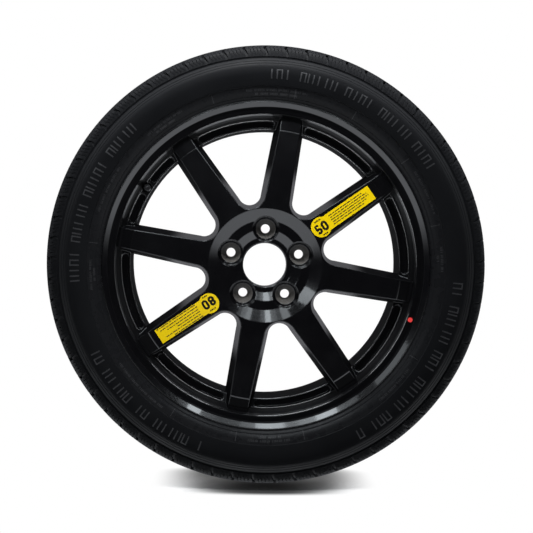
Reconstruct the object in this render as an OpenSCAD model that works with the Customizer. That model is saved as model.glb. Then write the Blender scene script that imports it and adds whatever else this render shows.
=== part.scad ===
/* [Rim] */
// Nominal bead seat diameter of the rim
seat_d = 512.8; // [505:0.2:520]
// Rim width between the inner faces of the flanges
rim_w = 127; // [115:0.5:140]
// Height of a flange above the bead seat
flange_h = 17.3; // [15:0.1:20]
// Thickness of a flange at its lip
flange_t = 11; // [9:0.5:13]
// How far the barrel's inner face lies below the bead seat
barrel_drop = 27.6; // [24:0.2:34]
// Wall of the barrel at the well
well_wall = 5.2; // [4:0.1:8]
// Distance from the rim's middle to the front end of the well's floor
well_front = 5; // [0:0.5:8]
// Distance from the rim's middle to the rear end of the well's floor
well_rear = 26; // [20:0.5:28]
// Height of the humps that keep the beads seated
hump_h = 0.9; // [0.3:0.1:1.5]

/* [Spokes] */
// Number of spokes
spoke_n = 8; // [6:1:10]
// Clockwise angle of the first spoke from the top
spoke_phase = 10.6; // [0:0.1:45]
// Height of the spokes' front face above the rim's middle, at the hub
face_z_in = 82; // [80:0.5:85]
// Height of the spokes' front face above the rim's middle, at the rim
face_z_out = 66; // [64:0.5:68]
// Distance from the end of the spokes' front face to the barrel's inner face
face_end_gap = 2.8; // [1:0.1:8]
// Distance from the axis to the centre of each window's rounded foot
window_r = 122.6; // [120:0.2:128]
// Radius of each window's rounded foot
window_foot_r = 20; // [16:0.5:22]
// Angle between a window's side and its middle line
window_flare = 25.7; // [24.5:0.1:26.5]
// Draft of the window walls, as millimetres outwards for each millimetre of depth
window_draft = 0.18; // [0.08:0.01:0.2]
// Width of the relief slot in the back of each spoke
relief_w = 17; // [8:0.5:22]
// Depth coordinate of the relief slots' floors
relief_z = 57; // [52:0.5:60]

/* [Hub] */
// Diameter of the pilot bore
bore_d = 72.6; // [60:0.1:74]
// Offset of the mounting face from the rim's middle
mount_z = 40; // [36:0.5:42]
// Outer radius of the mounting pad
pad_r = 78; // [76:0.5:82]
// Number of stud holes
stud_n = 5; // [4:1:6]
// Pitch circle diameter of the stud holes
stud_pcd = 120; // [118:0.5:122]
// Diameter of a stud hole
stud_d = 15.2; // [13:0.1:16.5]
// Thickness of the metal under a nut seat
seat_land = 8.4; // [7:0.2:9]
// Outer diameter of a nut seat's cone
seat_cone_d = 33; // [30:0.5:34]
// Radius of a nut pocket at its floor
pocket_r = 20.8; // [19:0.2:21]
// Outer radius of the dished hub face
dish_r = 95; // [90:0.5:96]

/* [Tyre] */
// Outer diameter of the inflated tyre
tyre_d = 753; // [735:1:775]
// Section width over the sidewalls
section_w = 175; // [170:0.5:182]
// Radial drop of the tread from its middle to its shoulder
crown_drop = 13; // [9:0.5:16]
// Width of the tread between its shoulders
tread_w = 120; // [112:1:126]
// Thickness of tread and belts at the crown
tread_t = 14; // [11:0.5:17]
// Thickness of a sidewall
side_t = 8.5; // [6:0.5:11]
// Number of shoulder grooves round each side of the tread
groove_n = 65; // [48:1:80]
// Width of a shoulder groove
groove_w = 3.2; // [2:0.1:4.5]
// Depth of a shoulder groove
side_groove_depth = 5; // [3:0.5:6]
// Angle by which a shoulder groove leans away from the straight way across the tread
groove_lean = 8.5; // [0:0.5:15]
// Depth of the grooves that run round the tread
groove_depth = 6.5; // [4:0.5:8]
// Width of the grooves that run round the tread
round_groove_w = 9; // [6:0.5:11]
// Radial gap between the tyre's beads and the rim
bead_gap = 0.2; // [0.1:0.05:0.4]

/* [Valve] */
// Diameter of the rim's valve hole
valve_hole_d = 11.3; // [11.2:0.1:11.6]
// Distance of the valve hole from the barrel's inner face
valve_out = 11.7; // [10.7:0.1:12.2]
// Angle by which the valve leans towards the axis
valve_tilt = 12; // [8:0.5:14]
// Diameter of the valve's rubber foot inside the tyre
valve_foot_d = 17.6; // [16:0.1:17.8]
// Outer diameter of the valve cap
cap_d = 9.6; // [9.2:0.1:10.4]
// Length by which the valve stands out of the rim, cap included
valve_l = 30; // [28:0.5:34]

/* [Labels] */
// Width of a speed label's strip
label_w = 26; // [20:0.5:28]
// Radius of a speed label's round end
label_end_r = 17; // [15:0.5:17.5]
// Distance from the axis to the centre of a label's round end
label_r = 112.5; // [112.5:0.5:116]
// Distance from a label's straight end to the end of the spoke's front face
label_end_gap = 10; // [6:1:26]
// Thickness of a label
label_t = 0.3; // [0.2:0.05:0.5]
// Radius of the painted balance mark
dot_r = 4; // [3:0.25:4.5]
// Clockwise angle of the balance mark from the top
dot_angle = 110.7; // [0:0.1:360]

/* [Hidden] */
$fn = 96;
eps = 0.01;

seat_r = seat_d / 2;
half_rim = rim_w / 2;
flange_r = seat_r + flange_h;
lip_z = half_rim + flange_t;
bore_r = bore_d / 2;
tyre_r = tyre_d / 2;
barrel_r = seat_r - barrel_drop;
well_r = barrel_r + well_wall;
face_r_out = barrel_r - face_end_gap;
label_r_out = face_r_out - label_end_gap;

// The bead seat: its width, its 5 degree taper, and the radius at its inner end
seat_w = 20.5;
seat_inner_z = half_rim - seat_w;
seat_inner_r = seat_r - seat_w * tan(5);
// The hump's width, and how far the rim falls behind it
hump_w = 4;
hump_fall = 1.5;

// Radius of a flange's curl, and of the fillet between flange and bead seat
curl_r = 8;
curl_lift = 0.5;
heel_r = 6.5;
// The front edge of a flange: its rounding, and the angle at which that begins
tip_r = 1.6;
tip_from = 75;

// The ring in front of the barrel, between flange and windows
lip_edge_r = seat_r - 3.8;
lip_flat_r = seat_r + 5.6;
lip_flat_z = lip_z - 8.5;
lip_chamfer = 1.6;
ring_z = 34;
trough_gap = 2.8;
trough_w = 11.4;
trough_r_in = barrel_r + trough_gap;
trough_r_out = trough_r_in + trough_w;
trough_floor_z = 27;
// Width of the narrow land along each side of a trough
trough_edge = 0.7;
// How much smaller a trough's round end is than half its width
trough_end_step = 0.3;
// Rise of the ring from the barrel to the outer edge of the troughs
ring_rise = 6.5;
ring_outer_z = ring_z + ring_rise;

// The spoke disc
step = 360 / spoke_n;
disc_end_r = lip_edge_r - 3.2;
slope_z = face_z_out - 8.5;
hub_front_z = mount_z + 26;
hub_ring_z = hub_front_z + 8;
hub_ring_r_in = bore_r + 23.5;
hub_ring_r_out = dish_r - 20.5;
window_ref_z = 44;
// How far a window's straight sides lie inside the line that would touch its round foot
foot_proud = 0.15;
// Depths between which the windows are cut
window_low = 0;
window_high = 95;
// Ends of the relief slots, and the depth they are cut from
relief_r_in = 122;
relief_end_gap = 18;
relief_r_out = barrel_r - relief_end_gap;
relief_low = 10;

// Studs sit symmetrically about the fourth spoke
stud_phase = spoke_phase + 3 * step;
seat_cone_r = seat_cone_d / 2;
stud_r = stud_d / 2;
seat_floor_z = mount_z + seat_land + (seat_cone_r - stud_r) * tan(60);
pocket_flare = 3;
cut_h = 30;
// Recesses in the mounting face between the stud holes
recess_r = 11;
recess_depth = 9;
recess_pitch_r = stud_pcd / 2 - 2;
// Chamfers at the rear and front ends of the pilot bore
lead_in = 3;
bore_edge = 1.5;

// The valve sits in the middle of the seventh window, counted from zero
valve_window = 6;
valve_angle = spoke_phase + (valve_window + 0.5) * step;
valve_r = barrel_r + valve_out;
valve_spot_r = 8.5;
foot_clear = 0.2;
valve_web = 3.5;
valve_seat_z = trough_floor_z + 4;
cap_l = 10;
cap_round = 1.6;
cap_top = 1;
stem_r = 3.6;
// Height of the rubber foot, and how far the stem stands out under it
foot_h = 6;
stem_low = valve_web + foot_h + 1;
stem_neck = valve_l - cap_l - 1;
stem_top = valve_l - 2;
skin = 0.05;
collar_w = 1.8;
collar_h = 2;
core_low = valve_l - 17;
thread_r = 3.85;
thread_chamfer = 0.6;
stem_bore_r = 2.2;
pin_r = 0.75;
pin_travel = 1;
// The plunger under the core closes it, and the head on top is what a gauge presses
plunger_r = 1.9;
plunger_gap = 0.3;
pin_head_w = 0.3;
pin_head_h = 0.6;
pin_sunk = 0.2;
// Gaps between valve pieces that move past each other
pin_clear = 0.4;
cap_clear = 0.2;

// Clockwise from the top, as the wheel is seen from outside
module at_angle(a) {
  rotate([0, 0, -a])
    children();
}

// Stands the wheel upright with its outer face to the front
module upright() {
  rotate([90, 0, 0])
    children();
}

// The valve's own frame: z runs outwards along its axis from the seat on the rim
module at_valve() {
  at_angle(valve_angle)
    translate([0, valve_r, valve_seat_z])
      rotate([valve_tilt, 0, 0])
        children();
}

// Points of a circular arc from angle a0 to a1
function arc(cx, cy, r, a0, a1, n) =
  [for (i = [0 : n]) let (a = a0 + (a1 - a0) * i / n) [cx + r * cos(a), cy + r * sin(a)]];

function mirrored(points) = [for (i = [len(points) - 1 : -1 : 0]) [points[i][0], -points[i][1]]];

// The tyre's side of one flange, from the lip down to the bead seat and over its hump.
// grow moves the curve off the rim, towards the tyre.
function flange_curve(grow) = concat(
  arc(flange_r - curl_r, half_rim + curl_r + curl_lift, curl_r + grow, 0, -90, 10),
  [[seat_r + heel_r + 1, half_rim - grow]],
  arc(seat_r + heel_r + grow, half_rim - heel_r - grow, heel_r, 90, 180, 6)
);

function hump_curve() = [
  [seat_inner_r, seat_inner_z],
  [seat_inner_r + hump_h, seat_inner_z - hump_w / 2],
  [seat_inner_r + hump_h, seat_inner_z - hump_w],
  [seat_inner_r - hump_fall, seat_inner_z - hump_w - 3]
];

// Section of the barrel with its flanges, as radius and depth
module barrel_section() {
  outer_half = concat(flange_curve(0), hump_curve());
  tip = arc(flange_r - tip_r, lip_z - tip_r, tip_r, tip_from, 0, 4);
  front = [
    [barrel_r, ring_z],
    [trough_r_in - trough_edge, ring_z + 1],
    [trough_r_out + trough_edge, ring_outer_z],
    [lip_edge_r, lip_flat_z - lip_chamfer],
    [lip_edge_r + lip_chamfer, lip_flat_z],
    [lip_flat_r, lip_flat_z]
  ];
  rear = [
    [lip_flat_r, -lip_flat_z],
    [seat_r - 6.4, -half_rim + 1],
    [seat_r - 7, -seat_inner_z + 1],
    [barrel_r, -well_rear - 4]
  ];
  polygon(concat(
    front, tip, outer_half,
    [[well_r, well_front], [well_r, -well_rear]],
    mirrored(outer_half), mirrored(tip), rear
  ));
}

// Section of hub and spokes, before the windows are cut
module disc_section() {
  polygon([
    [bore_r, mount_z],
    [bore_r, hub_front_z],
    [bore_r + 9.7, hub_front_z],
    [hub_ring_r_in, hub_ring_z],
    [hub_ring_r_out, hub_ring_z],
    [dish_r, face_z_in],
    [face_r_out, face_z_out],
    [disc_end_r - 4, slope_z],
    [disc_end_r, slope_z],
    [disc_end_r, ring_z],
    [barrel_r + 7, 18],
    [barrel_r, 18],
    [pad_r + 22, mount_z + 5],
    [pad_r + 5, mount_z + 5],
    [pad_r, mount_z]
  ]);
}

// How far a window wall has moved outwards at a given depth
function draft_at(z) = (z - window_ref_z) * window_draft;

// One side of a window at a given depth: distance along the middle line, and half width
function window_side(along, z) =
  let (
    grown = window_foot_r - foot_proud + draft_at(z),
    touch = [window_r - grown * sin(window_flare), grown * cos(window_flare)]
  )
  along < 0 ? touch : [along, touch[1] + (along - touch[0]) * tan(window_flare)];

function window_outline(z) =
  let (foot = window_side(-1, z), top = window_side(lip_edge_r + 30, z))
  [[-foot[1], foot[0], z], [foot[1], foot[0], z], [top[1], top[0], z], [-top[1], top[0], z]];

// A window with drafted walls: a cone at its foot and a wedge that opens outwards
module window_cut() {
  translate([0, window_r, window_low])
    cylinder(
      h = window_high - window_low,
      r1 = window_foot_r + draft_at(window_low),
      r2 = window_foot_r + draft_at(window_high)
    );
  polyhedron(
    points = concat(window_outline(window_low), window_outline(window_high)),
    faces = [
      [0, 1, 2, 3], [7, 6, 5, 4], [0, 4, 5, 1], [1, 5, 6, 2], [2, 6, 7, 3], [3, 7, 4, 0]
    ]
  );
}

// A slot with round ends along the y axis
module slot(w, y0, y1, h) {
  linear_extrude(h) {
    translate([-w / 2, y0 + w / 2])
      square([w, y1 - y0 - w]);
    translate([0, y0 + w / 2])
      circle(d = w);
    translate([0, y1 - w / 2])
      circle(d = w);
  }
}

// A trough in the ring between two angles either side of a window's middle line
module trough(a0, a1) {
  mid_r = (trough_r_in + trough_r_out) / 2;
  end_r = (trough_r_out - trough_r_in) / 2;
  end_a = asin(end_r / mid_r);
  translate([0, 0, trough_floor_z]) {
    rotate_extrude(start = 90 - a1 + end_a, angle = a1 - a0 - 2 * end_a)
      translate([trough_r_in, 0])
        square([2 * end_r, cut_h]);
    for (a = [a0 + end_a, a1 - end_a]) {
      at_angle(a)
        translate([0, mid_r, 0])
          cylinder(h = cut_h, r = end_r - trough_end_step);
    }
  }
}

// Half of the angle that a trough may take up beside the spokes
trough_half = step / 2 - 6.4;
valve_clear = 3;

module troughs() {
  for (i = [0 : spoke_n - 1]) {
    at_angle(spoke_phase + (i + 0.5) * step) {
      if (i == valve_window) {
        trough(-trough_half, -valve_clear);
        trough(valve_clear, trough_half);
      } else {
        trough(-trough_half, trough_half);
      }
    }
  }
}

// Stud hole, nut seat and the pocket that a socket spanner enters
module stud_cut() {
  translate([0, 0, mount_z - 1])
    cylinder(h = cut_h, r = stud_r);
  translate([0, 0, mount_z + seat_land])
    cylinder(h = seat_floor_z - mount_z - seat_land, r1 = stud_r, r2 = seat_cone_r);
  translate([0, 0, seat_floor_z])
    cylinder(h = cut_h, r1 = pocket_r, r2 = pocket_r + pocket_flare);
}

module bore_chamfers() {
  translate([0, 0, mount_z - eps])
    cylinder(h = lead_in, r1 = bore_r + lead_in, r2 = bore_r);
  translate([0, 0, hub_front_z - bore_edge])
    cylinder(h = bore_edge + eps, r1 = bore_r, r2 = bore_r + bore_edge);
}

module valve_cut() {
  at_valve() {
    translate([0, 0, -valve_web - 1])
      cylinder(h = valve_web + 2, d = valve_hole_d);
    cylinder(h = cut_h, r = valve_spot_r);
    translate([0, 0, -valve_web - cut_h])
      cylinder(h = cut_h, r = valve_foot_d / 2 + foot_clear);
  }
}

module wheel() {
  color([0.03, 0.03, 0.035])
    upright()
      difference() {
        union() {
          rotate_extrude()
            barrel_section();
          difference() {
            rotate_extrude()
              disc_section();
            for (i = [0 : spoke_n - 1]) {
              at_angle(spoke_phase + (i + 0.5) * step)
                window_cut();
            }
          }
        }
        troughs();
        valve_cut();
        bore_chamfers();
        for (i = [0 : stud_n - 1]) {
          at_angle(stud_phase + i * 360 / stud_n)
            translate([0, stud_pcd / 2, 0])
              stud_cut();
          at_angle(stud_phase + (i + 0.5) * 360 / stud_n)
            translate([0, recess_pitch_r, mount_z - eps])
              cylinder(h = recess_depth, r = recess_r);
        }
        for (i = [0 : spoke_n - 1]) {
          at_angle(spoke_phase + i * step)
            translate([0, 0, relief_low])
              slot(relief_w, relief_r_in, relief_r_out, relief_z - relief_low);
        }
      }
}

// The tread's outer line: an arc that drops by crown_drop at each shoulder
crown_arc_r = (pow(tread_w / 2, 2) + pow(crown_drop, 2)) / (2 * crown_drop);
crown_arc_c = tyre_r - crown_arc_r;
crown_arc_a = asin(tread_w / 2 / crown_arc_r);
shoulder_r = tyre_r - crown_drop;
shoulder_z = tread_w / 2;
side_z = section_w / 2;
// Radius at which the tyre is widest, and that of the step in its sidewall
wide_r = seat_r + 0.5 * (tyre_r - seat_r);
step_r = seat_r + 41.6;
// Depth coordinates of the grooves that run round the tread
round_grooves = [-26, 0, 26];
// A shoulder groove's inner end lies in the outer round groove, and its outer end beyond the sidewall
groove_start = round_grooves[2] + round_groove_w / 2 - 1;
groove_end = shoulder_z + 16;
over_tread = 5;

// Radius of the tread's outer line at a depth
function crown_at(z) = crown_arc_c + sqrt(pow(crown_arc_r, 2) - pow(z, 2));

// One outer half of the tyre, from the crown to the bead's toe
function tyre_outer_half() = concat(
  arc(crown_arc_c, 0, crown_arc_r, 0, crown_arc_a, 12),
  [
    [shoulder_r - 4.5, shoulder_z + 4.5],
    [shoulder_r - 14, shoulder_z + 9.6],
    [shoulder_r - 16, shoulder_z + 9.4],
    [shoulder_r - 19, shoulder_z + 12.5],
    [wide_r + 17, side_z - 4.5],
    [wide_r + 9, side_z - 1.2],
    [wide_r, side_z],
    [wide_r - 9, side_z - 0.6],
    [step_r, side_z - 2.2],
    [step_r - 1.2, side_z - 4],
    [step_r - 12, side_z - 7.5],
    [flange_r + 6, lip_z + 1.8]
  ],
  arc(flange_r - curl_r, half_rim + curl_r + curl_lift, curl_r + 2 * bead_gap, 18, -90, 10),
  [[seat_r + heel_r + 1, half_rim - bead_gap]],
  arc(seat_r + heel_r + bead_gap, half_rim - heel_r - bead_gap, heel_r, 90, 180, 6),
  [[seat_inner_r + bead_gap, seat_inner_z]]
);

// One inner half, from the bead's toe up to the crown
function tyre_inner_half() = concat(
  [
    [seat_inner_r + 2, seat_inner_z - 1.5],
    [seat_r + 8, seat_inner_z + 5],
    [seat_r + 18, seat_inner_z + 14],
    [seat_r + 30, side_z - side_t - 8],
    [wide_r - 14, side_z - side_t - 1.5],
    [wide_r, side_z - side_t],
    [wide_r + 14, side_z - side_t - 2],
    [wide_r + 28, shoulder_z + 4]
  ],
  arc(crown_arc_c - tread_t, 0, crown_arc_r, crown_arc_a * 0.88, 0, 8)
);

module tyre_section() {
  outer = tyre_outer_half();
  inner = tyre_inner_half();
  polygon(concat(outer, inner, mirrored(inner), mirrored(outer)));
}

// The shoulder groove's depth, as a section across the tread: it follows the crown, then the shoulder
module groove_section() {
  polygon(concat(
    [for (z = [groove_start : (shoulder_z - groove_start) / 3 : shoulder_z + eps])
      [z, crown_at(z) - side_groove_depth]],
    [
      [shoulder_z + 7, shoulder_r - side_groove_depth - 6],
      [groove_end, shoulder_r - side_groove_depth - 9.5],
      [groove_end, tyre_r + over_tread],
      [groove_start, tyre_r + over_tread]
    ]
  ));
}

// A groove across the shoulder, from the outer round groove to the sidewall
module shoulder_groove() {
  rotate([0, -groove_lean, 0])
    translate([groove_w / 2, 0, 0])
      rotate([0, -90, 0])
        linear_extrude(groove_w)
          groove_section();
}

module tyre() {
  color([0.09, 0.09, 0.1])
    upright()
      difference() {
        rotate_extrude()
          tyre_section();
        for (z = round_grooves) {
          rotate_extrude()
            translate([crown_at(z) - groove_depth, z - round_groove_w / 2])
              square([groove_depth + over_tread, round_groove_w]);
        }
        for (i = [0 : groove_n - 1]) {
          rotate([0, 0, i * 360 / groove_n]) {
            shoulder_groove();
            mirror([0, 0, 1])
              shoulder_groove();
          }
        }
      }
}

// Rubber of the snap-in valve: foot, neck in the rim's hole, and a tapered body round the stem
module valve_body() {
  neck_r = valve_hole_d / 2 - skin;
  foot_r = valve_foot_d / 2;
  color([0.05, 0.05, 0.05])
    upright()
      at_valve()
        rotate_extrude()
          polygon([
            [stem_r, -valve_web - foot_h],
            [foot_r - 2, -valve_web - foot_h],
            [foot_r, -valve_web - foot_h + 2.5],
            [foot_r, -valve_web - skin],
            [neck_r, -valve_web - skin],
            [neck_r, skin],
            [neck_r + collar_w, skin],
            [neck_r + collar_w, collar_h],
            [neck_r, collar_h + 7],
            [neck_r - 0.2, stem_neck],
            [stem_r, stem_neck]
          ]);
}

// Brass stem, bonded in the rubber, with its threaded end under the cap
module valve_stem() {
  color([0.75, 0.6, 0.3])
    upright()
      at_valve()
        rotate_extrude()
          polygon([
            [stem_bore_r, -stem_low],
            [stem_r, -stem_low],
            [stem_r, stem_neck],
            [thread_r, stem_neck],
            [thread_r, stem_top - thread_chamfer],
            [thread_r - thread_chamfer, stem_top],
            [stem_bore_r, stem_top]
          ]);
}

// Brass housing of the valve core, screwed into the stem
module valve_core() {
  color([0.8, 0.66, 0.35])
    upright()
      at_valve()
        rotate_extrude()
          polygon([
            [pin_r + pin_clear, core_low],
            [stem_bore_r, core_low],
            [stem_bore_r, stem_top - 1 - pin_travel],
            [pin_r + pin_clear, stem_top - 1 - pin_travel]
          ]);
}

// The core's pin, pressed inwards to let air out
module valve_pin() {
  color([0.7, 0.7, 0.72])
    upright()
      at_valve()
        rotate_extrude()
          polygon([
            [0, core_low - 2],
            [plunger_r, core_low - 2],
            [plunger_r, core_low - plunger_gap],
            [pin_r, core_low - plunger_gap],
            [pin_r, stem_top - pin_sunk - pin_head_h],
            [pin_r + pin_head_w, stem_top - pin_sunk - pin_head_h],
            [pin_r + pin_head_w, stem_top - pin_sunk],
            [0, stem_top - pin_sunk]
          ]);
}

module valve_cap() {
  cap_r = cap_d / 2;
  color([0.02, 0.02, 0.02])
    upright()
      at_valve()
        rotate_extrude()
          polygon(concat(
            [
              [thread_r + cap_clear, valve_l - cap_l],
              [cap_r, valve_l - cap_l],
              [cap_r, valve_l - cap_round]
            ],
            arc(cap_r - cap_round, valve_l - cap_round, cap_round, 0, 90, 5),
            [
              [0, valve_l],
              [0, valve_l - cap_top],
              [thread_r + cap_clear, valve_l - cap_top]
            ]
          ));
}

// Slope of the spokes' front face, in degrees below level
face_slope = atan((face_z_in - face_z_out) / (face_r_out - dish_r));
label_gap = 0.05;
dot_t = 0.2;

// A label's outline: a strip with a round end towards the hub
module label_outline() {
  circle(r = label_end_r);
  translate([-label_w / 2, 0])
    square([label_w, label_r_out - label_r]);
}

module speed_label(angle) {
  label_z = face_z_in - (label_r - dish_r) * tan(face_slope);
  color([0.96, 0.82, 0.05])
    upright()
      at_angle(angle)
        translate([0, label_r, label_z + label_gap])
          rotate([-face_slope, 0, 0])
            linear_extrude(label_t)
              label_outline();
}

module speed_label_upper() {
  speed_label(spoke_phase + step);
}

module speed_label_lower() {
  speed_label(spoke_phase + 5 * step);
}

module balance_dot() {
  color([0.9, 0.15, 0.15])
    upright()
      at_angle(dot_angle)
        translate([0, (lip_edge_r + lip_chamfer + lip_flat_r) / 2, lip_flat_z])
          cylinder(h = dot_t, r = dot_r);
}

wheel();
tyre();
valve_body();
valve_stem();
valve_core();
valve_pin();
valve_cap();
speed_label_upper();
speed_label_lower();
balance_dot();
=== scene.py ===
import math

import bmesh
import bpy
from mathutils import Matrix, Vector

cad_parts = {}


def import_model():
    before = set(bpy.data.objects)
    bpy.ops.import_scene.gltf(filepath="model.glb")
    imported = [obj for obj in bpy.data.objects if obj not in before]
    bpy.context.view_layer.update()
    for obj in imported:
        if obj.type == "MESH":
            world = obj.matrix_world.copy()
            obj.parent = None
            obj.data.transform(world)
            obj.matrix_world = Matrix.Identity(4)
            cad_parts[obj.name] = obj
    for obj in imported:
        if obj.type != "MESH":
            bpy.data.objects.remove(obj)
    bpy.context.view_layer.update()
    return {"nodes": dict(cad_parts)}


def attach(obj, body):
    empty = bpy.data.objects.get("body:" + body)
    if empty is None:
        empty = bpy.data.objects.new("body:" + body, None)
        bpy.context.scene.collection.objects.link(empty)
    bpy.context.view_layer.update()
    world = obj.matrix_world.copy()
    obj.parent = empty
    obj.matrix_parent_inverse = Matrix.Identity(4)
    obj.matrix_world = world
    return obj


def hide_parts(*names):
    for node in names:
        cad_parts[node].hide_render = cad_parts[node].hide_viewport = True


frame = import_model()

# All sizes below are in millimetres, and MM turns them into the scene's metres.
MM = 0.001

# The picture, and the camera that took it. The camera stood left of the wheel's axis and above it.
PICTURE_PX = 533
FOCAL_PX = 1034
SENSOR_MM = 36
CAMERA_AT = (-57.5, -1800, 94)
CAMERA_UP_DEG = 0.5
CAMERA_LEFT_DEG = 2.0
CAMERA_SHIFT = (0.1355, -0.1255)

# The wheel, as it is drawn in the part's source
SPOKE_N = 8
SPOKE_PHASE = 10.6
SPOKE_STEP = 360 / SPOKE_N
FACE_Z_IN = 82
FACE_Z_OUT = 66
FACE_R_OUT = 226
DISH_R = 95
STUD_N = 5
STUD_PITCH_R = 60
STUD_PHASE = SPOKE_PHASE + 3 * SPOKE_STEP
SEAT_CONE_R = 16.5
SEAT_FLOOR_Z = 63.8
MOUNT_Z = 40
LIP_Z = 74.5
FLANGE_R = 273.7

# The tyre
TYRE_R = 376.5
TREAD_HALF = 60
CROWN_DROP = 13
SHOULDER_R = TYRE_R - CROWN_DROP
SIDE_Z = 87.5
SEAT_R = 256.4
WIDE_R = SEAT_R + 0.5 * (TYRE_R - SEAT_R)
STEP_R = SEAT_R + 41.6
PITCH_N = 65

# The labels and the valve
LABEL_ANGLES = {"upper": SPOKE_PHASE + SPOKE_STEP, "lower": SPOKE_PHASE + 5 * SPOKE_STEP}
LABEL_R = 112.5
LABEL_TOP = 0.36
VALVE_ANGLE = SPOKE_PHASE + 6.5 * SPOKE_STEP
VALVE_R = 240.5
VALVE_SEAT_Z = 31
VALVE_TILT = 12
VALVE_L = 30
VALVE_WEB = 3.5
CAP_L = 10


def at_wheel(radius, clock, depth):
    """A point of the wheel: radius from the axis, angle clockwise from the top, depth towards the front."""
    a = math.radians(clock)
    return Vector((radius * math.sin(a), -depth, radius * math.cos(a))) * MM


def on_label(which, along, across, lift):
    """A point over a label: along the spoke from the round end's centre, across it clockwise, and upwards."""
    tilt = math.atan((FACE_Z_IN - FACE_Z_OUT) / (FACE_R_OUT - DISH_R))
    level = FACE_Z_IN - (LABEL_R - DISH_R) * math.tan(tilt)
    high = LABEL_TOP + lift
    out = LABEL_R + along * math.cos(tilt) + high * math.sin(tilt)
    depth = level - along * math.sin(tilt) + high * math.cos(tilt)
    a = math.radians(LABEL_ANGLES[which])
    x = across * math.cos(a) + out * math.sin(a)
    z = out * math.cos(a) - across * math.sin(a)
    return Vector((x, -depth, z)) * MM


def at_valve(x, y, z):
    """A point in the valve's own frame, whose z runs outwards along its axis from its seat."""
    t, a = math.radians(VALVE_TILT), math.radians(VALVE_ANGLE)
    out = VALVE_R + y * math.cos(t) - z * math.sin(t)
    depth = VALVE_SEAT_Z + y * math.sin(t) + z * math.cos(t)
    return Vector((x * math.cos(a) + out * math.sin(a), -depth, out * math.cos(a) - x * math.sin(a))) * MM


def new_piece(name, verts, faces, material, body, smooth_deg=None):
    """A mesh that rides on a body and takes the finish it is given."""
    mesh = bpy.data.meshes.new(name)
    mesh.from_pydata([tuple(v) for v in verts], [], faces)
    mesh.validate()
    piece = bpy.data.objects.new(name, mesh)
    bpy.context.scene.collection.objects.link(piece)
    mesh.materials.append(material)
    if smooth_deg is not None:
        smooth(mesh, smooth_deg)
    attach(piece, body)
    return piece


def smooth(mesh, sharp_deg):
    """Smooth shading, with edges sharper than sharp_deg left crisp."""
    mesh.polygons.foreach_set("use_smooth", [True] * len(mesh.polygons))
    mesh.set_sharp_from_angle(angle=math.radians(sharp_deg))
    mesh.update()


# Node graphs


class Graph:
    """A node graph, built one named step at a time."""

    def __init__(self, tree, output, coordinates):
        self.tree = tree
        self.tree.nodes.clear()
        self.output = self.add(output)
        self.where = self.add("ShaderNodeTexCoord").outputs[coordinates]

    def add(self, kind, **settings):
        node = self.tree.nodes.new(kind)
        for key, value in settings.items():
            setattr(node, key, value)
        return node

    def link(self, source, target):
        self.tree.links.new(source, target)

    def feed(self, socket, value):
        """Puts a number or colour on a socket, or links another node's output to it."""
        if isinstance(value, bpy.types.NodeSocket):
            self.link(value, socket)
        else:
            socket.default_value = value

    def maths(self, operation, *values, clamp=False):
        node = self.add("ShaderNodeMath", operation=operation, use_clamp=clamp)
        for socket, value in zip(node.inputs, values):
            self.feed(socket, value)
        return node.outputs[0]

    def axes(self, vector):
        """The x, y and z of a vector."""
        parts = self.add("ShaderNodeSeparateXYZ")
        self.link(vector, parts.inputs[0])
        return parts.outputs[:]

    def noise(self, scale, detail=3.0):
        node = self.add("ShaderNodeTexNoise")
        self.link(self.where, node.inputs["Vector"])
        node.inputs["Scale"].default_value = scale
        node.inputs["Detail"].default_value = detail
        return node.outputs["Fac"]

    def remap(self, value, low, high, to_low=0.0, to_high=1.0):
        """Eases from to_low where value is low to to_high where it is high, and stays level beyond."""
        node = self.add("ShaderNodeMapRange", clamp=True, interpolation_type="SMOOTHSTEP")
        self.feed(node.inputs["Value"], value)
        for key, number in zip(("From Min", "From Max", "To Min", "To Max"), (low, high, to_low, to_high)):
            node.inputs[key].default_value = number
        return node.outputs["Result"]

    def band(self, value, low, high, soft):
        """1 between low and high, fading to 0 over soft on either side."""
        return self.maths("MULTIPLY", self.remap(value, low - soft, low),
                          self.remap(value, high + soft, high))

    def blend(self, share, a, b):
        """Colour a where share is 0 and b where it is 1."""
        node = self.add("ShaderNodeMix", data_type="RGBA")
        self.feed(node.inputs["Factor"], share)
        self.feed(node.inputs[6], a)
        self.feed(node.inputs[7], b)
        return node.outputs[2]


class Finish(Graph):
    """A material's node graph. Its textures lie in the object's own coordinates, in metres."""

    def __init__(self, name):
        self.material = bpy.data.materials.new(name)
        self.material.use_nodes = True
        super().__init__(self.material.node_tree, "ShaderNodeOutputMaterial", "Object")

    def bump(self, height, distance, strength, normal=None):
        node = self.add("ShaderNodeBump")
        self.feed(node.inputs["Height"], height)
        node.inputs["Distance"].default_value = distance
        node.inputs["Strength"].default_value = strength
        if normal is not None:
            self.link(normal, node.inputs["Normal"])
        return node.outputs["Normal"]

    def rounded_edges(self, radius):
        """The normal of edges rounded by radius metres."""
        node = self.add("ShaderNodeBevel", samples=6)
        node.inputs["Radius"].default_value = radius
        return node.outputs["Normal"]

    def axis_distance(self):
        """Distance from the wheel's axis, in metres."""
        x, _, z = self.axes(self.where)
        return self.maths("SQRT", self.maths("ADD", self.maths("POWER", x, 2.0), self.maths("POWER", z, 2.0)))

    def surface(self, **sockets):
        shader = self.add("ShaderNodeBsdfPrincipled")
        for key, value in sockets.items():
            self.feed(shader.inputs[key.replace("_", " ")], value)
        self.link(shader.outputs[0], self.output.inputs["Surface"])
        return self.material


def rgb(r, g, b):
    return (r, g, b, 1.0)
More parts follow.
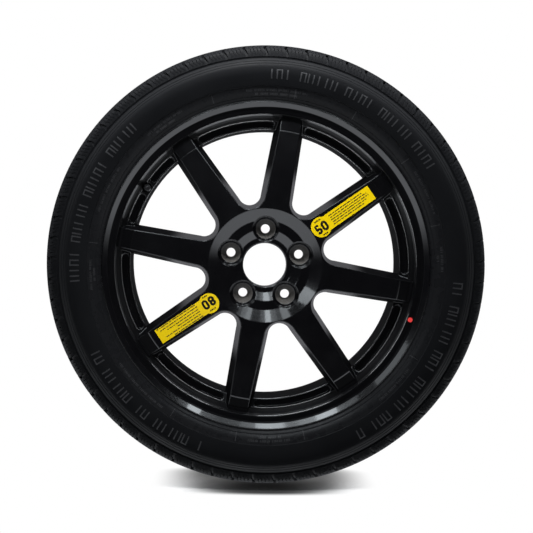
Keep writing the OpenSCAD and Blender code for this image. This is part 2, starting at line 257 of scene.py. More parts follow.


# Radii in metres between which the paint's reflection is dimmed as painted shade, and the radius that rounds
# the casting's edges
PAINT_EDGE_R = 0.0026
WALLS_FROM = (0.135, 0.175)
SPOKE_ENDS = (0.2275, 0.2455)
GUTTER = (0.2535, 0.2640)
RING_FOOT = (0.2440, 0.2500)
# Radii in metres over which the matt of the tyre's outer part gives way to the satin of its inner part
SATIN_EDGE = (0.2965, 0.2985)


def gloss_paint():
    """Gloss black paint over a casting: a mirror where it is exposed, with painted shade in the front's
    recesses, where its reflection is dimmed and it is rougher.
    """
    g = Finish("gloss_black_paint")
    tone = g.blend(g.noise(40.0), rgb(0.0012, 0.0012, 0.0014), rgb(0.0026, 0.0026, 0.0031))
    rough = g.remap(g.noise(25.0, 4.0), 0.3, 0.7, 0.16, 0.24)
    rounded = g.rounded_edges(PAINT_EDGE_R)
    peel = g.bump(g.noise(260.0, 2.0), 0.00006, 0.35, rounded)
    facing = g.maths("ABSOLUTE", g.axes(rounded)[1])
    radius = g.axis_distance()
    # Painted shade in the recesses, by dimming the reflection: the windows' walls, the slopes at the spokes'
    # ends, the lip's gutter and the ring's foot
    walls = g.maths("MULTIPLY", g.remap(facing, 0.45, 0.25), g.remap(radius, *WALLS_FROM))
    ends = g.maths("MULTIPLY", g.band(facing, 0.90, 0.935, 0.01), g.band(radius, *SPOKE_ENDS, 0.001))
    gutter = g.band(radius, *GUTTER, 0.0012)
    foot = g.maths("MULTIPLY", g.band(radius, *RING_FOOT, 0.001), 0.85)
    painted_recess_shade = g.maths("MAXIMUM", g.maths("MAXIMUM", walls, ends), g.maths("MAXIMUM", gutter, foot))
    # Where the painted shade lies, the reflection and the coat fade and the paint grows rougher
    return g.surface(Base_Color=tone, Normal=peel, Coat_Normal=peel, Coat_Roughness=0.05, Coat_IOR=1.7,
                     Roughness=g.maths("ADD", rough, g.maths("MULTIPLY", painted_recess_shade, 0.5)),
                     Specular_IOR_Level=g.remap(painted_recess_shade, 0.0, 1.0, 0.5, 0.03),
                     Coat_Weight=g.remap(painted_recess_shade, 0.0, 1.0, 1.0, 0.04))


def seat_finish():
    """Nut seats, where the paint is thin and matt and the grey-brown primer shows."""
    g = Finish("nut_seat_primer")
    tone = g.blend(g.noise(300.0, 5.0), rgb(0.041, 0.039, 0.037), rgb(0.078, 0.074, 0.070))
    rough = g.remap(g.noise(500.0, 3.0), 0.3, 0.7, 0.38, 0.62)
    grain = g.bump(g.noise(900.0, 3.0), 0.00005, 0.5, g.rounded_edges(0.0006))
    return g.surface(Base_Color=tone, Roughness=rough, Normal=grain)


def tyre_rubber():
    """Moulded rubber: matt on tread and shoulder, a little glossier towards the bead."""
    g = Finish("tyre_rubber")
    inner = g.remap(g.axis_distance(), *SATIN_EDGE, 1.0, 0.0)
    cloud = g.noise(14.0, 5.0)
    tone = g.blend(cloud, rgb(0.0034, 0.0036, 0.0041), rgb(0.0062, 0.0065, 0.0073))
    tone = g.blend(inner, tone, rgb(0.0052, 0.0054, 0.0061))
    matt = g.remap(cloud, 0.3, 0.7, 0.50, 0.62)
    satin = g.remap(g.noise(60.0, 4.0), 0.3, 0.7, 0.24, 0.32)
    rough_mix = g.add("ShaderNodeMix", data_type="FLOAT")
    g.link(inner, rough_mix.inputs["Factor"])
    g.link(matt, rough_mix.inputs[2])
    g.link(satin, rough_mix.inputs[3])
    grain = g.bump(g.noise(1400.0, 2.0), 0.00008, 0.4)
    return g.surface(Base_Color=tone, Roughness=rough_mix.outputs[0], Normal=grain,
                     Specular_IOR_Level=g.remap(inner, 0.0, 1.0, 0.02, 0.16))


def raised_rubber():
    """Rubber of the raised marks, which the mould's cut bottom leaves paler and smoother."""
    g = Finish("raised_rubber")
    tone = g.blend(g.noise(90.0, 4.0), rgb(0.0125, 0.0128, 0.0140), rgb(0.0230, 0.0235, 0.0254))
    rough = g.remap(g.noise(300.0), 0.3, 0.7, 0.34, 0.46)
    return g.surface(Base_Color=tone, Roughness=rough, Normal=g.bump(g.noise(1400.0), 0.00004, 0.3))


def plain_rubber():
    """Black rubber of the valve's body."""
    g = Finish("valve_rubber")
    tone = g.blend(g.noise(200.0), rgb(0.012, 0.012, 0.013), rgb(0.020, 0.020, 0.021))
    rough = g.remap(g.noise(400.0), 0.3, 0.7, 0.42, 0.55)
    return g.surface(Base_Color=tone, Roughness=rough, Normal=g.bump(g.noise(2500.0), 0.00003, 0.3))


def brass(name, warm):
    """Turned brass with fine tool marks."""
    g = Finish(name)
    dark, light = rgb(0.60 * warm, 0.43 * warm, 0.17), rgb(0.78 * warm, 0.58 * warm, 0.27)
    tone = g.blend(g.noise(350.0, 4.0), dark, light)
    rough = g.remap(g.noise(900.0, 2.0), 0.3, 0.7, 0.22, 0.36)
    return g.surface(Base_Color=tone, Metallic=1.0, Roughness=rough,
                     Normal=g.bump(g.noise(3000.0, 1.0), 0.00001, 0.4))


def steel():
    g = Finish("pin_steel")
    tone = g.blend(g.noise(500.0), rgb(0.50, 0.50, 0.52), rgb(0.66, 0.66, 0.68))
    rough = g.remap(g.noise(1200.0), 0.3, 0.7, 0.2, 0.32)
    return g.surface(Base_Color=tone, Metallic=1.0, Roughness=rough)


def cap_plastic():
    """Glossy black moulded plastic."""
    g = Finish("cap_plastic")
    tone = g.blend(g.noise(250.0), rgb(0.007, 0.007, 0.008), rgb(0.013, 0.013, 0.014))
    rough = g.remap(g.noise(700.0), 0.3, 0.7, 0.12, 0.22)
    return g.surface(Base_Color=tone, Roughness=rough, Normal=g.rounded_edges(0.0004), Coat_Weight=0.5,
                     Coat_Roughness=0.06)


def label_film():
    """Yellow adhesive film, with the slight unevenness of a stuck-on label."""
    g = Finish("label_yellow")
    tone = g.blend(g.noise(30.0, 3.0), rgb(0.57, 0.407, 0.0010), rgb(0.62, 0.446, 0.0020))
    rough = g.remap(g.noise(80.0), 0.3, 0.7, 0.34, 0.48)
    return g.surface(Base_Color=tone, Roughness=rough, Specular_IOR_Level=0.12,
                     Normal=g.bump(g.noise(120.0, 2.0), 0.00010, 0.3))


def print_ink():
    g = Finish("label_ink")
    tone = g.blend(g.noise(600.0), rgb(0.0035, 0.0035, 0.0035), rgb(0.0080, 0.0078, 0.0070))
    rough = g.remap(g.noise(500.0), 0.3, 0.7, 0.4, 0.55)
    return g.surface(Base_Color=tone, Roughness=rough, Specular_IOR_Level=0.15)


def fine_ink():
    """The thin print's ink, which lets some of the yellow through."""
    g = Finish("label_fine_ink")
    tone = g.blend(g.noise(900.0), rgb(0.014, 0.010, 0.003), rgb(0.030, 0.021, 0.004))
    rough = g.remap(g.noise(500.0), 0.3, 0.7, 0.4, 0.55)
    return g.surface(Base_Color=tone, Roughness=rough)


def mark_paint():
    """Red marking paint, dabbed on and a little uneven."""
    g = Finish("mark_red")
    tone = g.blend(g.noise(220.0, 4.0), rgb(0.55, 0.020, 0.020), rgb(0.88, 0.065, 0.060))
    rough = g.remap(g.noise(300.0), 0.3, 0.7, 0.35, 0.6)
    return g.surface(Base_Color=tone, Roughness=rough, Normal=g.bump(g.noise(900.0), 0.00010, 0.6))


PAINT = gloss_paint()
SEAT = seat_finish()
RUBBER = tyre_rubber()
RAISED = raised_rubber()
INK = print_ink()
FINE_INK = fine_ink()


def give(node, material):
    """A CAD node keeps its mesh and gets a finished material."""
    obj = frame["nodes"][node]
    if not obj.material_slots:
        obj.data.materials.append(material)
    for slot in obj.material_slots:
        slot.link = "OBJECT"
        slot.material = material
    return obj


give("valve_body", plain_rubber())
give("valve_core", brass("core_brass", 1.08))
give("valve_pin", steel())
give("valve_cap", cap_plastic())
give("speed_label_upper", label_film())
give("speed_label_lower", label_film())
give("balance_dot", mark_paint())


# The casting


def casting():
    """The wheel's own mesh, with gloss paint all over except on the nut seats, which show primer."""
    mesh = frame["nodes"]["wheel"].data.copy()
    mesh.name = "wheel_casting"
    mesh.materials.clear()
    mesh.materials.append(PAINT)
    mesh.materials.append(SEAT)
    stud_axes = [at_wheel(STUD_PITCH_R, STUD_PHASE + i * 360 / STUD_N, 0) for i in range(STUD_N)]
    for face in mesh.polygons:
        middle = face.center
        depth = -middle.y / MM
        near = min(math.hypot(middle.x - a.x, middle.z - a.z) for a in stud_axes) / MM
        on_seat = near < SEAT_CONE_R + 1 and MOUNT_Z + 0.5 < depth < SEAT_FLOOR_Z - 0.05
        face.material_index = 1 if on_seat else 0
    piece = bpy.data.objects.new("wheel_casting", mesh)
    bpy.context.scene.collection.objects.link(piece)
    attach(piece, "wheel")
    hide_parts("wheel")


casting()

# The tyre

CROWN_ARC_R = (TREAD_HALF ** 2 + CROWN_DROP ** 2) / (2 * CROWN_DROP)
CROWN_ARC_C = TYRE_R - CROWN_ARC_R
# The grooves that run round the tread: one in its middle and one at ROUND_GROOVE_Z on either side
ROUND_GROOVE_Z = 26
ROUND_GROOVE_W = 9
ROUND_GROOVE_DEEP = 6.5
ROUND_GROOVE_DRAFT = 0.8
# The grooves and fine cuts that run across it
GROOVE_W = 5.0
SIPE_W = 1.2
SIPE_DEEP = 2.4
SIPE_ZIGZAG = 0.9
SIPE_N = 4


def crown(z):
    """Radius of the tread's outer line at a depth coordinate."""
    return CROWN_ARC_C + math.sqrt(CROWN_ARC_R ** 2 - z ** 2)


def tread_rows():
    """Half of the tread, from its middle to the shoulder: (radius, z, groove depth, sipe depth)."""
    half = ROUND_GROOVE_W / 2
    rows = []

    def row(z, sunk=0.0, groove=0.0, sipe=0.0):
        rows.append((crown(z) - sunk, z, groove, sipe))

    row(0, ROUND_GROOVE_DEEP)
    row(half - ROUND_GROOVE_DRAFT, ROUND_GROOVE_DEEP)
    row(half)
    for z in (7, 10, 13, 16, 19):
        row(z, sipe=SIPE_DEEP)
    row(ROUND_GROOVE_Z - half)
    row(ROUND_GROOVE_Z - half + ROUND_GROOVE_DRAFT, ROUND_GROOVE_DEEP)
    row(ROUND_GROOVE_Z + half - ROUND_GROOVE_DRAFT, ROUND_GROOVE_DEEP)
    row(ROUND_GROOVE_Z + half, groove=ROUND_GROOVE_DEEP)
    for z in (34, 37.5, 41, 44.5, 48, 51.5, 55, 58.5):
        row(z, groove=6.3 - 0.04 * z, sipe=SIPE_DEEP)
    rows.append((SHOULDER_R - 0.6, 61, 4.2, SIPE_DEEP))
    rows.append((SHOULDER_R - 4.5, 64.5, 3.6, SIPE_DEEP))
    rows.append((SHOULDER_R - 9, 67.1, 2.6, SIPE_DEEP * 0.6))
    rows.append((SHOULDER_R - 13.4, 69.3, 1.4, 0.0))
    return rows


def side_rows():
    """The sidewall from the shoulder's lower edge to the bead, as (radius, z)."""
    rows = [
        (SHOULDER_R - 14.4, 69.7), (SHOULDER_R - 15.2, 69.0), (SHOULDER_R - 17.2, 69.0),
        (SHOULDER_R - 18.2, 71.2), (SHOULDER_R - 20.5, 73.6), (SHOULDER_R - 21.0, 74.6),
        (SHOULDER_R - 22.4, 75.9), (SHOULDER_R - 23.0, 75.9), (SHOULDER_R - 25.6, 78.4),
        (SHOULDER_R - 26.2, 79.4), (SHOULDER_R - 27.4, 80.3), (SHOULDER_R - 28.0, 80.4),
        (WIDE_R + 17, 83.0), (WIDE_R + 13, 84.9), (WIDE_R + 9, 86.3), (WIDE_R + 4, 87.3),
        (WIDE_R, SIDE_Z), (WIDE_R - 4, 87.4), (WIDE_R - 9, 86.9), (WIDE_R - 14, 86.1),
        (STEP_R + 1.0, SIDE_Z - 2.0), (STEP_R, SIDE_Z - 2.3), (STEP_R - 0.8, SIDE_Z - 3.9),
        (STEP_R - 1.6, SIDE_Z - 4.2), (STEP_R - 6, SIDE_Z - 5.4), (STEP_R - 12, SIDE_Z - 7.5),
        (FLANGE_R + 8.4, LIP_Z + 3.2), (FLANGE_R + 7.6, LIP_Z + 2.2), (FLANGE_R + 6.6, LIP_Z + 2.0),
        (FLANGE_R + 5.0, LIP_Z + 1.0), (FLANGE_R + 2.2, LIP_Z - 1.8),
    ]
    for i in range(6):
        a = math.radians(10 - 20 * i)
        rows.append((FLANGE_R - 8 + 8.4 * math.cos(a), LIP_Z - 2.5 + 8.4 * math.sin(a)))
    rows += [(SEAT_R + 7.5, 63.3), (SEAT_R + 2.0, 61.0), (SEAT_R + 0.3, 56.0), (254.9, 43.0)]
    return rows


def inner_rows():
    """Half of the inside, from the bead's toe to the crown."""
    return [(256.6, 41.5), (264.4, 48.0), (274.4, 57.0), (286.4, 71.0), (302.4, 77.5), (316.4, 79.0),
            (330.4, 77.0), (344.4, 64.0), (351.0, 50.0), (356.6, 36.0), (360.4, 20.0), (362.4, 0.0)]


# How far across the tread a groove has come, and how far it leans there, clockwise as seen from the front
KINKS = ((0, 0.0), (30, 4.6), (48, -1.6), (56, -2.2), (72, 1.8), (84, 0.0))


def kink(z, radius):
    """How far the cross grooves lean sideways at a row."""
    along = abs(z) + max(0.0, SHOULDER_R - radius) * 0.6
    for (a0, k0), (a1, k1) in zip(KINKS, KINKS[1:]):
        if along <= a1:
            return k0 + (k1 - k0) * (along - a0) / (a1 - a0)
    return 0.0


def pitch_columns():
    """Columns of one pitch: (offset at the crown, share of groove depth, share of sipe depth)."""
    columns = [(0.0, 0, 0), (0.35, 1, 0), (GROOVE_W - 0.35, 1, 0), (GROOVE_W, 0, 0)]
    pitch = 2 * math.pi * TYRE_R / PITCH_N
    block = pitch - GROOVE_W
    for i in range(SIPE_N):
        middle = GROOVE_W + block * (i + 1) / (SIPE_N + 1)
        columns += [(middle - SIPE_W / 2, 0, 0), (middle, 0, 1), (middle + SIPE_W / 2, 0, 0)]
    return columns


def tyre():
    front = tread_rows() + [(r, z, 0.0, 0.0) for r, z in side_rows() + inner_rows()]
    back = [(r, -z, g, s) for r, z, g, s in front[-2::-1]]
    rows = front + back[:-1]
    columns = pitch_columns()
    verts, faces = [], []
    for r, z, groove, sipe in rows:
        lean = kink(z, r)
        zigzag = SIPE_ZIGZAG * (1 if round(abs(z) / 3.5) % 2 else -1) if sipe else 0.0
        for pitch in range(PITCH_N):
            for offset, in_groove, in_sipe in columns:
                side = lean + (zigzag if offset > GROOVE_W + 1 else 0.0)
                a = 360 * pitch / PITCH_N + math.degrees((offset + side) / TYRE_R)
                verts.append(at_wheel(r - groove * in_groove - sipe * in_sipe, a, z))
    n = PITCH_N * len(columns)
    for i in range(len(rows)):
        j = (i + 1) % len(rows)
        for k in range(n):
            m = (k + 1) % n
            faces.append((i * n + k, j * n + k, j * n + m, i * n + m))
    piece = new_piece("tyre_rubber", verts, faces, RUBBER, "wheel", 38)
    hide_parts("tyre")


tyre()

# What is moulded on the sidewall. Plain bars stand where the real one carries lettering.


def side_z(radius):
    """Depth coordinate of the sidewall's surface at a radius."""
    rows = sorted(side_rows())
    for (r0, z0), (r1, z1) in zip(rows, rows[1:]):
        if r0 <= radius <= r1 and r1 > r0:
            return z0 + (z1 - z0) * (radius - r0) / (r1 - r0)
    return SIDE_Z


class Relief:
    """Raised patches that follow one sidewall, gathered into one mesh. side is 1 in front, -1 at the back."""

    def __init__(self, side):
        self.side = side
        self.verts = []
        self.faces = []

    def patch(self, r0, r1, clock, width, lift):
        """A patch from radius r0 to r1, centred on a clockwise angle and raised by lift."""
        steps = max(2, math.ceil((r1 - r0) / 4) + 1)
        base = len(self.verts)
        for i in range(steps):
            radius = r0 + (r1 - r0) * i / (steps - 1)
            for edge in (-0.5, 0.5):
                a = clock + math.degrees(edge * width / radius)
                z = side_z(radius)
                self.verts.append(at_wheel(radius, a, self.side * (z - RELIEF_ROOT)))
                self.verts.append(at_wheel(radius, a, self.side * (z + lift)))
        for i in range(steps - 1):
            a, b = base + 4 * i, base + 4 * (i + 1)
            self.faces += [(a + 1, b + 1, b + 3, a + 3), (a, b, b + 1, a + 1), (a + 2, a + 3, b + 3, b + 2),
                           (a, a + 2, b + 2, b)]
        end = base + 4 * (steps - 1)
        self.faces += [(base, base + 1, base + 3, base + 2), (end, end + 2, end + 3, end + 1)]

    def bars(self, arc, r0, r1, pattern, lift, stroke):
        """Cells of plain bars along an arc: 0 is a gap, 1 and 2 are as many bars, 3 is two with one across."""
        clock, stop = arc
        middle = (r0 + r1) / 2
        cell = math.degrees((r1 - r0) * 0.82 / middle)
        gap = math.degrees((r1 - r0) * 0.25 / middle)
        i = 0
        while clock < stop:
            count = pattern[i % len(pattern)]
            if count == 1:
                self.patch(r0, r1, clock, stroke, lift)
            elif count >= 2:
                self.patch(r0, r1, clock - gap, stroke, lift)
                self.patch(r0, r1, clock + gap, stroke, lift)
            if count == 3:
                self.patch(r1 - stroke * 0.8, r1, clock, (r1 - r0) * 0.5, lift)
            clock += cell
            i += 1


# How deep the marks are rooted in the sidewall, and how far the large and the small ones stand out of it
RELIEF_ROOT = 0.4
LARGE_LIFT = 0.45
SMALL_LIFT = 0.3
# The width of their bars, and the radii between which each ring of bars lies
LARGE_STROKE = 2.2
SMALL_STROKE = 0.8
LARGE_RING = (309.5, 325.5)
SMALL_RING = (289.5, 293.0)
INNER_RING = (283.5, 286.8)
# The clockwise angles of the ribs, and the arcs that the large and the small bars fill
RIB_ANGLES = (-17.5, 10.0, 30.7, 53.3, 76.8, 121.8, 167.2, 189.7, 212.1, 277.4)
LARGE_ARCS = ((-94, -40), (2, 60), (96, 152), (200, 246))
SMALL_ARCS = ((-6, 14), (58, 73), (84, 92), (126, 140), (172, 186), (216, 236), (262, 272), (288, 304),
              (318, 332))


def sidewall_relief():
    for name, side in (("front", 1), ("back", -1)):
        relief = Relief(side)
        for clock in RIB_ANGLES:
            relief.patch(STEP_R - 17, STEP_R - 2.5, clock, 0.9, LARGE_LIFT)
        for i, arc in enumerate(LARGE_ARCS):
            pattern = (2, 1, 3, 1, 0, 3, 2, 1)[i:] + (1, 2, 0, 3)
            relief.bars(arc, *LARGE_RING, pattern, LARGE_LIFT, LARGE_STROKE)
        for i, (start, stop) in enumerate(SMALL_ARCS):
            relief.bars((start, stop), *SMALL_RING, (1, 2, 1, 1, 0, 2, 1), SMALL_LIFT, SMALL_STROKE)
            if i % 2 == 0:
                arc = (start + 3, stop - 3)
                relief.bars(arc, *INNER_RING, (2, 1, 0, 1, 2, 1), SMALL_LIFT, SMALL_STROKE)
        new_piece("sidewall_relief_" + name, relief.verts, relief.faces, RAISED, "wheel", 30)


sidewall_relief()

# What is printed on the labels: plain numerals and plain bars

DIGIT_H = 17.0
DIGIT_W = 11.0
DIGIT_GAP = 1.4
STROKE_W = 4.0
# The ink reaches this far above the film and as far below its face
INK_T = 0.06


def arc_points(cx, cy, rx, ry, start, stop, n=10):
    """Points on an ellipse from one angle to another, in degrees anticlockwise from +x."""
    angles = [math.radians(start + (stop - start) * i / n) for i in range(n + 1)]
    return [(cx + rx * math.cos(a), cy + ry * math.sin(a)) for a in angles]


def digit_lines(digit):
    """The middle lines of a numeral's strokes, about its centre: (points, closed) each."""
    w, h = (DIGIT_W - STROKE_W) / 2, (DIGIT_H - STROKE_W) / 2
    if digit == "0":
        top = arc_points(0, h - w, w, w, 0, 180)
        low = arc_points(0, w - h, w, w, 180, 360)
        return [(top + low, True)]
    if digit == "8":
        return [(arc_points(0, h / 2, w * 0.9, h / 2, 0, 350, 22), True),
                (arc_points(0, -h / 2, w, h / 2, 0, 350, 22), True)]
    bowl = arc_points(0, -h + w * 0.95, w, w * 0.95, 130, -150, 14)
    return [([(w * 0.9, h), (-w * 0.72, h), (-w * 0.86, 0.3)] + bowl, False)]


class Print:
    """Ink on one label, gathered into one mesh with a strong and a faint ink."""

    def __init__(self, which):
        self.which = which
        self.verts = []
        self.faces = []
        self.inks = []

    def ribbon(self, points, width, closed, ink=0):
        """A flat stroke along a line of points, whose x runs out along the spoke and whose y is up."""
        n = len(points)
        base = len(self.verts)
        for i, (x, y) in enumerate(points):
            before = points[(i - 1) % n] if closed or i else points[0]
            after = points[(i + 1) % n] if closed or i < n - 1 else points[-1]
            dx, dy = after[0] - before[0], after[1] - before[1]
            size = math.hypot(dx, dy)
            nx, ny = -dy / size * width / 2, dx / size * width / 2
            for side in (-1, 1):
                for lift in (INK_T, -INK_T):
                    self.verts.append(on_label(self.which, x + side * nx, -(y + side * ny), lift))
        for i in range(n if closed else n - 1):
            a, b = base + 4 * i, base + 4 * ((i + 1) % n)
            self.add((a, a + 2, b + 2, b), ink)
            self.add((a + 1, b + 1, b + 3, a + 3), ink)
            self.add((a, b, b + 1, a + 1), ink)
            self.add((a + 2, a + 3, b + 3, b + 2), ink)
        if not closed:
            end = base + 4 * (n - 1)
            self.add((base, base + 1, base + 3, base + 2), ink)
            self.add((end, end + 2, end + 3, end + 1), ink)

    def add(self, face, ink):
        self.faces.append(face)
        self.inks.append(ink)

    def dashes(self, x0, x1, y, width, lengths, gap, ink):
        """A row of plain dashes from x0 to x1, standing where the real label has a line of words."""
        x, i = x0, 0
        while x < x1 - gap:
            stop = min(x + lengths[i % len(lengths)], x1)
            self.ribbon([(x, y), (stop, y)], width, False, ink)
            x, i = stop + gap, i + 1

    def number(self, digits, y):
        step = DIGIT_W + DIGIT_GAP
        for i, digit in enumerate(digits):
            x = (i - (len(digits) - 1) / 2) * step
            for points, closed in digit_lines(digit):
                self.ribbon([(x + px, y + py) for px, py in points], STROKE_W, closed)

    def piece(self):
        mesh = new_piece("print_" + self.which, self.verts, self.faces, INK, "wheel").data
        mesh.materials.append(FINE_INK)
        mesh.polygons.foreach_set("material_index", self.inks)
        bm = bmesh.new()
        bm.from_mesh(mesh)
        bmesh.ops.recalc_face_normals(bm, faces=bm.faces)
        bm.to_mesh(mesh)
        bm.free()


# What each label carries: its number, how far its lines spread, how thick they are, and where each line ends
LABELS = {"upper": ("50", 16.4, 1.7, (88, 95, 97, 90, 82)),
          "lower": ("80", 22.6, 1.6, (80, 92, 66, 84, 96, 100))}


def labels():
    for which, (number, spread, width, stops) in LABELS.items():
        ink = Print(which)
        ink.number(number, -1.2)
        ink.dashes(-5.5, 5.7, 11.6, 2.4, (2.4, 1.6, 2.8), 0.7, 0)
        ink.dashes(-4.6, 4.8, -13.4, 2.2, (2.8, 2.4), 0.8, 0)
        for i, stop in enumerate(stops):
            y = spread * (0.5 - i / (len(stops) - 1))
            lengths = (7, 4, 9, 5, 6)[i % 3:] + (8, 3)
            ink.dashes(20.0 + (i % 2) * 1.5, stop, y, width, lengths, 1.3, 1)
        ink.piece()


labels()

# The valve's thread, which shows when the cap is off

THREAD_R = 3.85
THREAD_PITCH = 0.8
THREAD_DEEP = 0.42
STEM_R = 3.6
STEM_BORE_R = 2.2
STEM_LOW = -VALVE_WEB - 7
STEM_NECK = VALVE_L - CAP_L - 1
STEM_TOP = VALVE_L - 2


def thread():
    around, per_pitch = 40, 8
    rows = [(STEM_BORE_R, STEM_LOW, False), (STEM_R, STEM_LOW, False), (STEM_R, STEM_NECK, False),
            (THREAD_R - THREAD_DEEP, STEM_NECK, False), (THREAD_R - THREAD_DEEP, STEM_NECK + 0.4, False)]
    n = int((STEM_TOP - 0.9 - STEM_NECK - 0.6) / THREAD_PITCH * per_pitch)
    rows += [(THREAD_R, STEM_NECK + 0.6 + i * THREAD_PITCH / per_pitch, True) for i in range(n)]
    rows += [(THREAD_R - THREAD_DEEP, STEM_TOP - 0.5, False), (THREAD_R - 0.9, STEM_TOP, False),
             (STEM_BORE_R, STEM_TOP, False)]
    verts, faces = [], []
    for radius, z, cut in rows:
        for k in range(around):
            share = k / around
            deep = 0.0
            if cut:
                turn = (z / THREAD_PITCH - share) % 1.0
                deep = THREAD_DEEP * max(0.0, min(1.0, abs(turn - 0.5) * 2.6 - 0.15))
            a = 2 * math.pi * share
            verts.append(at_valve((radius - deep) * math.cos(a), (radius - deep) * math.sin(a), z))
    for i in range(len(rows)):
        j = (i + 1) % len(rows)
        for k in range(around):
            m = (k + 1) % around
            faces.append((i * around + k, i * around + m, j * around + m, j * around + k))
    piece = new_piece("stem_thread", verts, faces, brass("stem_brass", 1.0), "wheel", 40)
    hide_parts("valve_stem")


thread()

# The studio

# What gloss sees of the room, and what diffuse surfaces get
ROOM_DARK = rgb(0.010, 0.010, 0.012)
ROOM_FLOOR = rgb(0.76, 0.79, 0.84)
ROOM_EDGE = rgb(8.6, 8.9, 9.2)
ROOM_WALL = rgb(0.15, 0.15, 0.16)
ROOM_FILL = rgb(0.060, 0.060, 0.062)
WHITE = rgb(1, 1, 1)
# The floor's own glow near the wheel, and what it gives the wheel from further off
FLOOR_GLOW = 0.10
FLOOR_FAR = rgb(0.12, 0.12, 0.12)
# The floor's edges, and half the size of the shadow and of its darkest part, which is painted shadow, in metres
FLOOR_FRONT = -0.55
FLOOR_SIDE = 4
FLOOR_BACK = 6
CONTACT_X = 0.17
CONTACT_Y = 0.10
CONTACT_BACK = 0.065
SHADOW_X = 0.195
SHADOW_Y = 0.100
# Left end, right end and brightness of each strip of light that the rim shows, and of each that the dish shows
RIM_STRIPS = ((-3.2, -1.3, 0.9), (-0.95, -0.66, 0.6), (-0.66, -0.42, 4.6), (-0.42, -0.24, 1.9),
              (-0.24, -0.12, 1.0), (-0.12, 0.14, 4.0), (0.14, 0.28, 1.0), (0.28, 0.68, 0.4),
              (0.70, 0.86, 5.5), (0.86, 1.0, 0.3))
DISH_STRIPS = ((-0.66, -0.40, 1.9), (-0.40, -0.26, 0.3), (-0.26, -0.08, 0.8), (-0.08, 0.08, 4.4),
               (0.08, 0.22, 0.6), (0.22, 0.50, 0.1), (0.50, 0.66, 2.2), (0.66, 0.84, 1.3), (0.84, 1.0, 0.5))
STRIP_HEIGHT = 1.35
SKY_TINT = (0.88, 0.95, 1.0)


def world():
    """White for the camera, an even grey for diffuse surfaces, and for gloss a dark room with a white floor."""
    made = bpy.data.worlds.new("studio")
    bpy.context.scene.world = made
    made.use_nodes = True
    g = Graph(made.node_tree, "ShaderNodeOutputWorld", "Generated")
    path = g.add("ShaderNodeLightPath").outputs
    _, y, z = g.axes(g.where)

    # Gloss sees a white floor below, but not straight ahead, where the camera stands in the dark
    floor_share = g.maths("MULTIPLY", g.remap(z, -0.10, -0.38), g.remap(y, -0.87, -0.79))
    room = g.blend(floor_share, ROOM_DARK, ROOM_FLOOR)
    room = g.blend(g.remap(y, 0.80, 0.93), room, ROOM_WALL)

    # Panels beside the wheel, seen only by its rounded edges: most above and below, less at the sides
    panels = g.maths("MULTIPLY", g.remap(y, -0.08, 0.02), g.remap(y, 0.50, 0.32))
    height_share = g.maths("MULTIPLY_ADD", g.maths("ABSOLUTE", z), 0.8, 0.2, clamp=True)
    room = g.blend(g.maths("MULTIPLY", panels, height_share), room, ROOM_EDGE)

    seen = g.blend(path["Is Glossy Ray"], ROOM_FILL, room)
    shown = g.maths("MAXIMUM", path["Is Camera Ray"], path["Is Transmission Ray"])
    sky = g.add("ShaderNodeBackground")
    g.link(g.blend(shown, seen, WHITE), sky.inputs["Color"])
    sky.inputs["Strength"].default_value = 1.0
    g.link(sky.outputs[0], g.output.inputs["Surface"])


def floor():
    """A white floor that keeps the wheel's shadow near it, darkened under the tyre by a painted shadow, and is
    plain white further off.
    """
    g = Finish("floor_white")
    path = g.add("ShaderNodeLightPath").outputs
    x, y, _ = g.axes(g.where)

    # How far out of the shadow's area a point is
    across = g.maths("POWER", g.maths("DIVIDE", x, SHADOW_X), 2.0)
    along = g.maths("POWER", g.maths("ABSOLUTE", g.maths("DIVIDE", y, SHADOW_Y)), 6.0)
    away = g.maths("POWER", g.remap(g.maths("SQRT", g.maths("ADD", across, along)), 0.45, 1.0), 1.5)

    # How far out of the painted shadow below the tyre it is
    under_x = g.maths("POWER", g.maths("DIVIDE", x, CONTACT_X), 2.0)
    under_y = g.maths("POWER", g.maths("DIVIDE", g.maths("ADD", y, CONTACT_BACK), CONTACT_Y), 2.0)
    painted_shadow_factor = g.remap(g.maths("ADD", under_x, under_y), 0.0, 1.0, 0.04, 1.0)

    # The tyre gets little light from below, so the floor is darker to it than to the camera
    white_paint = g.blend(path["Is Diffuse Ray"], rgb(0.9, 0.9, 0.9), FLOOR_FAR)
    paint = g.add("ShaderNodeBsdfDiffuse")
    # The painted shadow darkens the floor's colour and its glow
    g.link(g.blend(painted_shadow_factor, rgb(0, 0, 0), white_paint), paint.inputs["Color"])
    glow = g.add("ShaderNodeEmission")
    own_light = g.maths("MULTIPLY", path["Is Camera Ray"], FLOOR_GLOW)
    g.link(g.maths("MULTIPLY", own_light, painted_shadow_factor), glow.inputs["Strength"])
    near = g.add("ShaderNodeAddShader")
    g.link(paint.outputs[0], near.inputs[0])
    g.link(glow.outputs[0], near.inputs[1])
    far = g.add("ShaderNodeEmission")
    g.link(g.blend(path["Is Camera Ray"], FLOOR_FAR, WHITE), far.inputs["Color"])
    mix = g.add("ShaderNodeMixShader")
    g.link(away, mix.inputs[0])
    g.link(near.outputs[0], mix.inputs[1])
    g.link(far.outputs[0], mix.inputs[2])
    g.link(mix.outputs[0], g.output.inputs["Surface"])

    level = -TYRE_R * MM
    corners = [(-FLOOR_SIDE, FLOOR_FRONT, level), (FLOOR_SIDE, FLOOR_FRONT, level),
               (FLOOR_SIDE, FLOOR_BACK, level), (-FLOOR_SIDE, FLOOR_BACK, level)]
    mesh = bpy.data.meshes.new("floor")
    mesh.from_pydata(corners, [], [(0, 1, 2, 3)])
    mesh.materials.append(g.material)
    obj = bpy.data.objects.new("floor", mesh)
    obj.visible_glossy = False
    bpy.context.scene.collection.objects.link(obj)


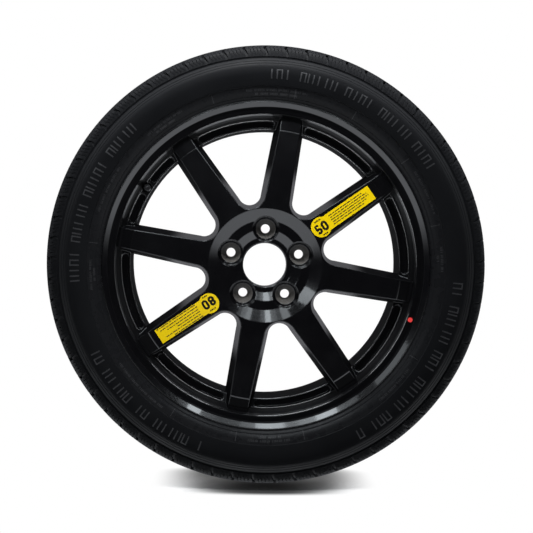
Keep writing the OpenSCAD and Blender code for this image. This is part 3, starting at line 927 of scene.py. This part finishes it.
def softbox(name, at, size, watts, aim=(0, 0, 0), tint=(1, 1, 1), mirrored=True):
    """A rectangular soft light at a point in metres, turned towards another, which gloss shows if mirrored."""
    lamp = bpy.data.lights.new(name, "AREA")
    lamp.shape = "RECTANGLE"
    lamp.size, lamp.size_y = size
    lamp.energy = watts
    lamp.color = tint
    obj = bpy.data.objects.new(name, lamp)
    bpy.context.scene.collection.objects.link(obj)
    obj.visible_glossy = mirrored
    obj.location = at
    obj.rotation_mode = "QUATERNION"
    obj.rotation_quaternion = (Vector(aim) - Vector(at)).to_track_quat("-Z", "Y")
    return obj


def sky_strips():
    """Level strips of light above and in front, which streak the rim's foot and the lower half of the hub."""
    for row, strips, middle, length in (("rim", RIM_STRIPS, -0.95, 1.2), ("dish", DISH_STRIPS, -1.96, 0.8)):
        for i, (left, right, glow) in enumerate(strips):
            at = (0.5 * (left + right), middle, STRIP_HEIGHT)
            watts = glow * math.pi * (right - left) * length
            name = "%s_strip_%02d" % (row, i)
            lamp = softbox(name, at, (right - left, length), watts, (at[0], middle, 0), SKY_TINT)
            lamp.rotation_quaternion = (1, 0, 0, 0)


def lights():
    """The strips and the window that gloss mirrors, and the soft lights that only brighten what they reach."""
    softbox("strip_above", (0.0, 0.0, 1.9), (0.8, 0.12), 62)
    sky_strips()
    softbox("left_window", (-1.10, -1.85, 0.74), (0.40, 0.46), 1.5, (0.07, -0.08, -0.04), SKY_TINT)
    softbox("top_front", (0.0, -0.62, 1.05), (0.9, 0.2), 22, (0, 0, 0.25), mirrored=False)
    softbox("low_left", (-0.16, -0.45, -0.12), (0.2, 0.2), 0.62, (-0.15, -0.07, -0.10), mirrored=False)
    softbox("left_front", (-1.4, -1.9, 0.5), (0.8, 1.2), 3, mirrored=False)
    softbox("right_front", (1.4, -1.9, 0.5), (0.8, 1.2), 3, mirrored=False)


def camera():
    data = bpy.data.cameras.new("camera")
    data.sensor_width = SENSOR_MM
    data.lens = FOCAL_PX / PICTURE_PX * SENSOR_MM
    data.shift_x, data.shift_y = CAMERA_SHIFT
    data.clip_start, data.clip_end = 0.05, 50
    obj = bpy.data.objects.new("camera", data)
    bpy.context.scene.collection.objects.link(obj)
    obj.location = Vector(CAMERA_AT) * MM
    obj.rotation_euler = (math.radians(90 + CAMERA_UP_DEG), 0, math.radians(CAMERA_LEFT_DEG))
    bpy.context.scene.camera = obj


world()
floor()
lights()
camera()
bpy.context.scene.view_settings.view_transform = "Standard"
